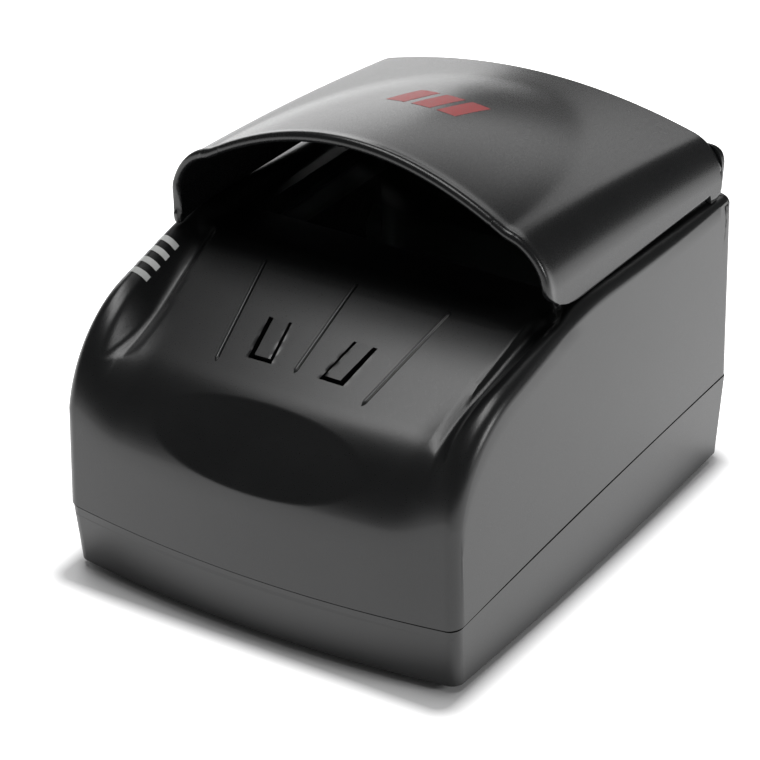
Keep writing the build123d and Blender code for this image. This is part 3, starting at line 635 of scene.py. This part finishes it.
def on_ramp(x, y, lift=0.0):
    """Point on the ramp's surface above (x, y), lifted along its slope's normal."""
    p = trace(lambda q: body_field(q) + tongue_lift(q[..., 0], q[..., 1]),
              np.array([[x, y, 90.0]]), np.array([[0.0, 0.0, 1.0]]), 40.0)[0]
    up = DECK["up"]
    return p + lift * np.array([0.0, -sin(up), cos(up)])


def tongue_cutter(side, material):
    """U-shaped slot round a page tongue; the tongue stays joined to the ramp at its upper end."""
    inner_slot, outer_slot = 1.3, 2.0      # widths of the slots beside the tongue
    turn = 0.085                           # width of the slot at the free end, as a share of the tongue
    (x0, x1), fan = TONGUE_X, TONGUE_FAN
    edge = [(x0 + fan, 1.0), (x0, 0.0), (x1, 0.0), (x1 + fan, 1.0)]
    inner = [(x0 + fan + inner_slot, 1.0), (x0 + inner_slot, turn), (x1 - outer_slot, turn),
             (x1 + fan - outer_slot, 1.0)]
    ring = []
    for w in (-6.0, 3.0):
        for pair in zip(edge, inner):
            ring += [on_ramp(side * u, TONGUE_Y[0] + v * (TONGUE_Y[1] - TONGUE_Y[0]), w) for u, v in pair]
    faces = []
    for i in range(0, 6, 2):
        faces += [[i, i + 1, i + 3, i + 2], [i + 8, i + 10, i + 11, i + 9], [i, i + 2, i + 10, i + 8],
                  [i + 1, i + 9, i + 11, i + 3]]
    faces += [[0, 8, 9, 1], [6, 7, 15, 14]]
    return make_mesh("cutter", np.array(ring), faces, material)


def boolean(obj, other, operation):
    mod = obj.modifiers.new("cut", "BOOLEAN")
    mod.object = other
    mod.operation = operation
    mod.solver = "MANIFOLD"
    bpy.context.view_layer.objects.active = obj
    bpy.ops.object.modifier_apply(modifier=mod.name)
    bpy.data.objects.remove(other)


def rib_mesh(start, end):
    """Slim half-round bead along the ramp with rounded ends: points and faces."""
    (x0, y0), (x1, y1) = start, end
    radius, height, count = 0.80, 0.85, 40
    spine = np.array([on_ramp(x0 + (x1 - x0) * k, y0 + (y1 - y0) * k) for k in np.linspace(0, 1, count)])
    along = unit(np.gradient(spine, axis=0))
    normal = np.array([0.0, -sin(DECK["up"]), cos(DECK["up"])])
    across = unit(np.cross(along, normal))
    length = np.r_[0, np.cumsum(np.linalg.norm(np.diff(spine, axis=0), axis=1))]
    near = np.minimum(length, length[-1] - length)
    taper = np.sqrt(np.clip(1 - (1 - np.clip(near / radius, 0, 1)) ** 2, 0.02, 1))
    ring = np.linspace(0, pi, 9)
    sunk = -1.2                            # the bead's foot, below the ramp's skin
    section = [(cos(a), max(sin(a), 0.0)) for a in ring] + [(-1.0, sunk), (1.0, sunk)]
    points = [spine[i] + across[i] * radius * taper[i] * c + normal * height * (taper[i] * s if s > 0 else s)
              for i in range(count) for c, s in section]
    m = len(section)
    faces = [[i * m + j, i * m + (j + 1) % m, (i + 1) * m + (j + 1) % m, (i + 1) * m + j]
             for i in range(count - 1) for j in range(m)]
    faces += [list(range(m))[::-1], list(range((count - 1) * m, count * m))]
    return np.array(points), faces


# lower and upper end of each guide rib
RIBS = [((-31.5, -76.5), (-40.2, -29.7)), ((0, -72.3), (0, -29.7)), ((31.5, -76.5), (40.2, -29.7))]


def joined(name, objects):
    """One object from several."""
    bpy.ops.object.select_all(action="DESELECT")
    for o in objects:
        o.select_set(True)
    bpy.context.view_layer.objects.active = objects[0]
    bpy.ops.object.join()
    objects[0].name = name
    return objects[0]


def build_housing():
    outer, inner = housing_grids(False), housing_grids(True)
    mask = [window_mask(outer[0]), None, None]
    points, faces = thick_skin(outer, inner, mask)
    housing = make_mesh("housing_skin", points, faces, HOUSING_MAT)
    for side in (-1, 1):
        boolean(housing, tongue_cutter(side, HOUSING_MAT), "DIFFERENCE")
    tidy_mesh(housing, 30.0)
    ribs = [make_mesh("rib", *rib_mesh(*rib), HOUSING_MAT) for rib in RIBS]
    housing = joined("housing_skin", [housing] + ribs)
    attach(housing, "body")
    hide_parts("top_housing")


# ================================================================ status windows on the left cheek
LAMP_START = node_mm("status_windows")[0][1]
LAMP_PITCH, LAMP_LENGTH, LAMP_COUNT = 6.6, 3.0, 4
LAMP_ARC = (radians(46), radians(-84))    # from the gutter's side over the ridge to the outer side
LAMP_PROUD, LAMP_SUNK = -0.08, 1.6        # outer and inner face, as depths under the cheek's skin
RIDGE_CORE_IN, RIDGE_CORE_DOWN = 5.2, 9.2  # where the rays start: inside the rounded ridge


def ridge_foot(y):
    """Start of the rays for a lamp bar, inside the left ridge."""
    ridge_z = 118.0 + 0.258 * (y + 30)
    return [-(side_x(y, 108.0) - RIDGE_CORE_IN), y, ridge_z - RIDGE_CORE_DOWN]


def build_windows():
    """Four pale bars that wrap over the left cheek, a hair proud of the skin."""
    up = CHEEK["up"]
    bars = []
    for i in range(LAMP_COUNT):
        y0 = LAMP_START + i * LAMP_PITCH
        rows = []
        for y in np.linspace(y0, y0 + LAMP_LENGTH, 7):
            row = []
            for a in np.linspace(*LAMP_ARC, 26):
                row.append(ridge_foot(y) + [sin(a), -sin(up) * cos(a), cos(up) * cos(a)])
            rows.append(row)
        rays = np.array(rows)
        skins = [trace(lambda p, d=d: body_field(p) + d, rays[..., :3], rays[..., 3:], 9.0)
                 for d in (LAMP_PROUD, LAMP_SUNK)]
        points, faces = thick_skin([skins[0]], [skins[1]])
        bars.append(make_mesh("bar", points, faces, WINDOW_MAT))
    lamp = joined("lamp_windows", bars)
    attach(lamp, "body")
    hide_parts("status_windows")


# ================================================================ hood
HOOD_T = 2.8                       # thickness of the hood
HOOD_HALF_W, HOOD_LEAN = 81.5, 0.028
HOOD_REAR = HOOD_HIGH[1]
HOOD_EDGE_Z, HOOD_REAR_EDGE_Z = 121.3, 118.7    # lower edge of the sides, and its step near the rear
RIM_Y, RIM_Z, RIM_LEAN = -30.6, 130.0, -0.055    # the rim's plane: y at height RIM_Z, and its lean
CROWN = (162.05, 1.6, 150.8)       # top of the crown at the rim, swelling midway, top at the rear
CROWN_R = (222.0, 246.0)           # radius across the crown, at the rim and at the rear
BUMP_H, BUMP_X, BUMP_L, BUMP_POWER = 10.3, 63.5, 114.0, 2.3    # raised oval: height, half width, length
HOOD_CORNER = (15.0, 12.5)         # radius of the shoulders, at the rim and at the rear
SHOULDER_X = 67.0                  # where the rays for the shoulders start
CORNER_TOP_Z, CORNER_RUN = 134.0, 24.0    # the right front corner: its top, and how far back it runs
REAR_EDGE_R = 2.4
FLAT_SCALE = 0.94                  # keeps the hood's field from overshooting on its steep swell
FLARE_REACH = 6.0                  # square of the rim's flare, back from the rim


def hood_share(y):
    return (y - RIM_Y) / (HOOD_REAR - RIM_Y)


def hood_top(x, y):
    """Height of the hood's outer skin over (x, y)."""
    k = hood_share(y)
    crown = CROWN[0] + (CROWN[2] - CROWN[0]) * k + 4 * CROWN[1] * k * (1 - k)
    radius = CROWN_R[0] + (CROWN_R[1] - CROWN_R[0]) * k
    reach = np.clip(np.abs(y - RIM_Y), 0, None) / BUMP_L
    rho = ((np.abs(x) / BUMP_X) ** BUMP_POWER + reach ** BUMP_POWER) ** (2 / BUMP_POWER)
    rise = 1 - rho
    soft = 0.035 + 0.10 * np.clip(reach, 0, 1)
    swell = 0.5 * (rise + np.sqrt(rise ** 2 + soft ** 2))
    return crown - x ** 2 / (2 * radius) + BUMP_H * (swell - 0.5 * soft * smoothstep(rho, 0.0, 1.0))


def hood_side(z):
    return HOOD_HALF_W - HOOD_LEAN * (z - 121.0)


def hood_field(p, flare):
    """Outer skin of the hood; flare thickens it at the rim."""
    x, y, z = p[..., 0], p[..., 1], p[..., 2]
    k = np.clip(hood_share(y), 0, 1)
    top = (z - hood_top(x, y)) * FLAT_SCALE
    side = np.abs(x) - hood_side(z)
    corner = HOOD_CORNER[0] + (HOOD_CORNER[1] - HOOD_CORNER[0]) * k
    d = rint(top, side, corner)
    d = rint(d, y - HOOD_REAR, REAR_EDGE_R)
    from_rim = y - rim_y(z)
    return d - flare * np.exp(-np.clip(from_rim, 0, None) ** 2 / FLARE_REACH)


def rim_y(z):
    return RIM_Y + RIM_LEAN * (z - RIM_Z)


def hood_edge(side):
    """Front lower corner and lower edge of one side of the hood, as (y, z), rim first.

    The right corner is rounded back; the left one runs straight down to the cheek.
    """
    if side > 0:
        a = np.linspace(0, 1, 22)
        y = rim_y(CORNER_TOP_Z) + CORNER_RUN * (1 - np.cos(a * pi / 2))
        z = HOOD_EDGE_Z + (CORNER_TOP_Z - HOOD_EDGE_Z) * (1 - np.sin(a * pi / 2))
        return np.stack([y, z], 1)
    straight = [(rim_y(z), z) for z in np.linspace(CORNER_TOP_Z, 121.0, 12)]
    turn = [(-30.0, 119.7), (-28.6, 119.5), (-26.0, 119.9), (-22.0, 120.4), (-17.0, 120.9), (-12.0, 121.2),
            (-7.0, HOOD_EDGE_Z)]
    return np.array(straight + turn)


def hood_grids(inset, flare):
    """Top with its rear wall, right side and left side, inset from the hood's outer skin."""
    def field(p):
        return hood_field(p, flare) + inset
    v = chain_values(np.linspace(0, 0.06, 14), np.linspace(0.06, 1, 100))
    half = chain_values(steps(0, 58.0, 1.1), steps(58.0, SHOULDER_X, 0.45))
    fan = np.linspace(0, pi / 2, 26)[1:]
    rear_y = HOOD_REAR - inset - REAR_EDGE_R
    columns = []
    for x in half:
        z = hood_top(x, rim_y(165.0))
        y = rim_y(z) + (rear_y - rim_y(z)) * v
        foot = np.stack([np.full(len(v), x), y, np.full(len(v), 120.0)], 1)
        columns.append((foot, np.tile([0.0, 0.0, 1.0], (len(v), 1)), 70.0))
    for a in fan:
        z_rim = CORNER_TOP_Z + HOOD_CORNER[0] * cos(a)
        y = rim_y(z_rim) + (rear_y - rim_y(z_rim)) * v
        drop = HOOD_CORNER[0] + (HOOD_CORNER[1] - HOOD_CORNER[0]) * hood_share(y)
        foot = np.stack([np.full(len(v), SHOULDER_X), y, hood_top(SHOULDER_X, y) - drop], 1)
        columns.append((foot, np.tile([sin(a), 0.0, cos(a)], (len(v), 1)), 20.0))
    main = np.stack([trace(field, f, h, reach) for f, h, reach in columns], 1)
    # over the rear edge and down the back
    back = []
    last = main[-1]
    # the wall ends above the hinge brackets, so the open hood clears them
    low = np.interp(np.abs(last[:, 0]), [0, 76, 79], [128.2, 128.2, 122.0])
    for i in range(1, 7):
        a = pi / 2 * i / 6
        fallen = REAR_EDGE_R * (1 - cos(a))
        ring = last.copy()
        ring[:, 1] = rear_y + REAR_EDGE_R * sin(a)
        ring[:, 2] = last[:, 2] - fallen
        ring[:, 0] = np.sign(last[:, 0]) * np.minimum(np.abs(last[:, 0]),
                                                      hood_side(ring[:, 2]) - inset - fallen)
        back.append(ring)
    start = back[-1]
    for k in np.linspace(0, 1, 10)[1:]:
        row = start.copy()
        row[:, 2] = start[:, 2] + (np.minimum(low, start[:, 2] - 1.0) - start[:, 2]) * k
        back.append(row)
    right = np.concatenate([main, np.stack(back)], 0)
    top = np.concatenate([mirrored(right)[:, :0:-1], right], 1)
    # side panel from the rounded shoulder down to the lower edge
    upper = main[:, -1]

    def side_panel(which):
        return hood_side_panel(field, upper, rear_y, inset, hood_edge(which))
    return [top, side_panel(1), mirrored(side_panel(-1))]


def hood_side_panel(field, upper, rear_y, inset, corner):
    """Side of the hood below its rounded shoulder, bounded by upper, the rim and the lower edge."""
    rows, front_points = 16, 12            # front_points of the corner count as the panel's front edge
    rear_z = np.linspace(upper[-1, 2], HOOD_REAR_EDGE_Z, rows)
    rear = np.stack([hood_side(rear_z) - inset, np.full(rows, rear_y), rear_z], 1)
    # near the rear the lower edge steps down
    edge = np.concatenate([corner, [[90.5, HOOD_EDGE_Z], [92.4, HOOD_EDGE_Z], [92.9, HOOD_REAR_EDGE_Z],
                                    [rear_y, HOOD_REAR_EDGE_Z]]])
    full = np.concatenate([[[rim_y(upper[0, 2]), upper[0, 2]]], edge])
    curve = np.stack([np.zeros(len(full)), full[:, 0], full[:, 1]], 1)
    front = even_curve(curve[:front_points + 1], rows)
    lower = even_curve(curve[front_points:], len(upper))
    front[0] = [0, upper[0, 1], upper[0, 2]]
    panel = fill_patch(upper * [0, 1, 1], lower, front, rear * [0, 1, 1])
    flat = np.stack([np.full(panel.shape[:2], 60.0), panel[..., 1], panel[..., 2]], 2)
    side = trace(field, flat, np.broadcast_to([1.0, 0.0, 0.0], flat.shape), 30.0)
    side[..., 1:] = panel[..., 1:]
    side[0] = upper
    return side


LUG_R, LUG_TOP = 3.2, 129.0
LUG_GAP, LUG_W = 0.3, 3.7
BRACKET_X = (58.0, 68.0)           # inner and outer face of a hinge bracket; a lug stands beside each


def lug(x0, x1):
    """One hinge lug of the hood: a rounded plate round the pin."""
    arc = [(HINGE_Y + LUG_R * cos(a), HINGE_Z + LUG_R * sin(a)) for a in np.linspace(-pi, 0, 17)]
    rear = HOOD_REAR - 1.0
    shape = [(HINGE_Y - LUG_R, LUG_TOP)] + arc + [(rear, HINGE_Z + 2.0), (rear, LUG_TOP)]
    return extruded(shape, lambda u, v, w: (w, u, v), x0, x1)


def hood_lugs():
    near, far = BRACKET_X
    parts = []
    for side in (-1, 1):
        for inner in (near - LUG_GAP - LUG_W, far + LUG_GAP):
            a, b = sorted((side * inner, side * (inner + LUG_W)))
            parts.append(make_mesh("lug", *lug(a, b), HOOD_MAT))
    return parts


def build_hood():
    # flared outwards outside and inwards inside, the rim is a thick rounded bead
    outer, inner = hood_grids(0.0, 0.55), hood_grids(HOOD_T, -0.45)
    points, faces = thick_skin(outer, inner, rings=8)
    hood = make_mesh("hood_skin", points, faces, HOOD_MAT, 40.0)
    hood = joined("hood_skin", [hood] + hood_lugs())
    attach(hood, "hood")
    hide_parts("hood_shell")


# ================================================================ printed mark, generic
def hood_mark():
    """A plain red mark: three slanted blocks, printed on the hood."""
    blocks = [(-15.5, -7.5), (-4.5, 3.5), (6.5, 14.5)]
    y0, y1, slant = 14.0, 34.0, 3.5
    proud, sunk = 0.06, 0.15
    across, along = 10, 20
    parts = []
    for x0, x1 in blocks:
        x = np.linspace(x0, x1, across)[None, :] + np.linspace(0, slant, along)[:, None]
        y = np.repeat(np.linspace(y0, y1, along)[:, None], across, 1)
        z = hood_top(x, y)
        upper = np.stack([x, y, z + proud], 2)
        lower = np.stack([x, y, z - sunk], 2)
        points, faces = thick_skin([upper], [lower])
        parts.append(make_mesh("print", points, faces, RED_MAT))
    mark = joined("hood_print", parts)
    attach(mark, "hood")


# ================================================================ make it
build_housing()
build_windows()
build_hood()
hood_mark()


# ================================================================ floor, light and camera
FLOOR_REACH = 3000.0
PAINTED_SHADOW_INSET = 7.0               # how far inside the pan's edge the painted contact shadow on the floor is measured from
PAINTED_SHADOW_FADE = (5.0, 17.0)          # distances from there over which the painted contact shadow fades: the glow starts at the first and is full at the second
PAINTED_SHADOW_SPAN = 100.0                 # the distance is measured no further than this
FLOOR_GLOW = 1.12                  # the floor is a light table, so it shows next to no shadow


def floor_glow_and_painted_shadow(tree):
    """Full glow away from the object, fading to nothing close to and under it: a painted contact shadow on
    the floor.
    """
    coords = tree.nodes.new("ShaderNodeTexCoord")
    split = tree.nodes.new("ShaderNodeSeparateXYZ")
    tree.links.new(coords.outputs["Object"], split.inputs[0])
    distance = tree.nodes.new("ShaderNodeVectorMath")
    distance.operation = "LENGTH"
    past = tree.nodes.new("ShaderNodeCombineXYZ")
    for axis, half in enumerate((PAN_HIGH[0] - PAINTED_SHADOW_INSET, PAN_HIGH[1] - PAINTED_SHADOW_INSET)):
        size = tree.nodes.new("ShaderNodeMath")
        size.operation = "ABSOLUTE"
        tree.links.new(split.outputs[axis], size.inputs[0])
        beyond = add_range(tree, size.outputs[0], half * MM, (half + PAINTED_SHADOW_SPAN) * MM, 0.0, PAINTED_SHADOW_SPAN * MM)
        tree.links.new(beyond, past.inputs[axis])
    tree.links.new(past.outputs[0], distance.inputs[0])
    # painted contact shadow: the floor's glow fades to nothing near and under the pan
    near, far = PAINTED_SHADOW_FADE
    return add_range(tree, distance.outputs["Value"], near * MM, far * MM, 0.0, FLOOR_GLOW)


def stage_floor():
    """Pale flat sheet that glows, with a painted contact shadow under and just round the object."""
    mat, tree, shader = nodes_of("paper_floor")
    tex = noise(tree, 6.0, 6.0)
    pale = ramp(tree, tex.outputs[0], (0.86, 0.86, 0.87), (0.90, 0.90, 0.90))
    tree.links.new(pale, shader.inputs["Base Color"])
    tree.links.new(spread(tree, tex.outputs[0], 0.55, 0.70), shader.inputs["Roughness"])
    shader.inputs["Emission Color"].default_value = (1.0, 1.0, 1.0, 1.0)
    tree.links.new(floor_glow_and_painted_shadow(tree), shader.inputs["Emission Strength"])
    far = FLOOR_REACH
    points = [(-far, -far, 0), (far, -far, 0), (far, far, 0), (-far, far, 0)]
    floor = make_mesh("floor", points, [[0, 1, 2, 3]], mat)


def area_light(name, place, target, size, power):
    """White softbox at place, turned towards target."""
    data = bpy.data.lights.new(name, "AREA")
    data.shape = "RECTANGLE"
    data.size, data.size_y = size
    data.energy = power
    lamp = bpy.data.objects.new(name, data)
    bpy.context.scene.collection.objects.link(lamp)
    lamp.location = place
    lamp.rotation_euler = (Vector(target) - Vector(place)).to_track_quat("-Z", "Y").to_euler()


stage_floor()
area_light("softbox_back_left", (-0.90, 0.86, 0.34), (0, 0, 0.10), (0.85, 0.45), 2.4)
area_light("softbox_back", (-0.36, 1.05, 0.70), (0, 0, 0.12), (0.95, 0.42), 1.9)
area_light("softbox_above", (-0.34, 0.04, 1.22), (0, 0, 0.08), (0.46, 0.46), 4.0)
area_light("softbox_above_right", (0.12, -0.10, 1.20), (0, 0, 0.08), (0.50, 0.40), 4.0)
area_light("strip_right", (1.25, 0.15, 0.50), (0, 0, 0.06), (0.35, 0.25), 4.0)

world = bpy.data.worlds.new("studio")
bpy.context.scene.world = world
world.use_nodes = True
world.node_tree.nodes["Background"].inputs[0].default_value = (1, 1, 1, 1)
world.node_tree.nodes["Background"].inputs[1].default_value = 0.10

VIEW_AZIMUTH, VIEW_PITCH = 0.56465, 0.49731
VIEW_DISTANCE, VIEW_AIM = 1.2881, (-0.0212, 0.0190, 0.0450)
camera = bpy.data.objects.new("camera", bpy.data.cameras.new("camera"))
bpy.context.scene.collection.objects.link(camera)
ahead = Vector((-sin(VIEW_AZIMUTH) * cos(VIEW_PITCH), cos(VIEW_AZIMUTH) * cos(VIEW_PITCH), -sin(VIEW_PITCH)))
camera.location = Vector(VIEW_AIM) - ahead * VIEW_DISTANCE
camera.rotation_mode = "QUATERNION"
camera.rotation_quaternion = ahead.to_track_quat("-Z", "Y")
camera.data.sensor_width, camera.data.lens = 36.0, 156.3
camera.data.clip_start, camera.data.clip_end = 0.05, 20.0
bpy.context.scene.camera = camera
bpy.context.scene.view_settings.view_transform = "Standard"
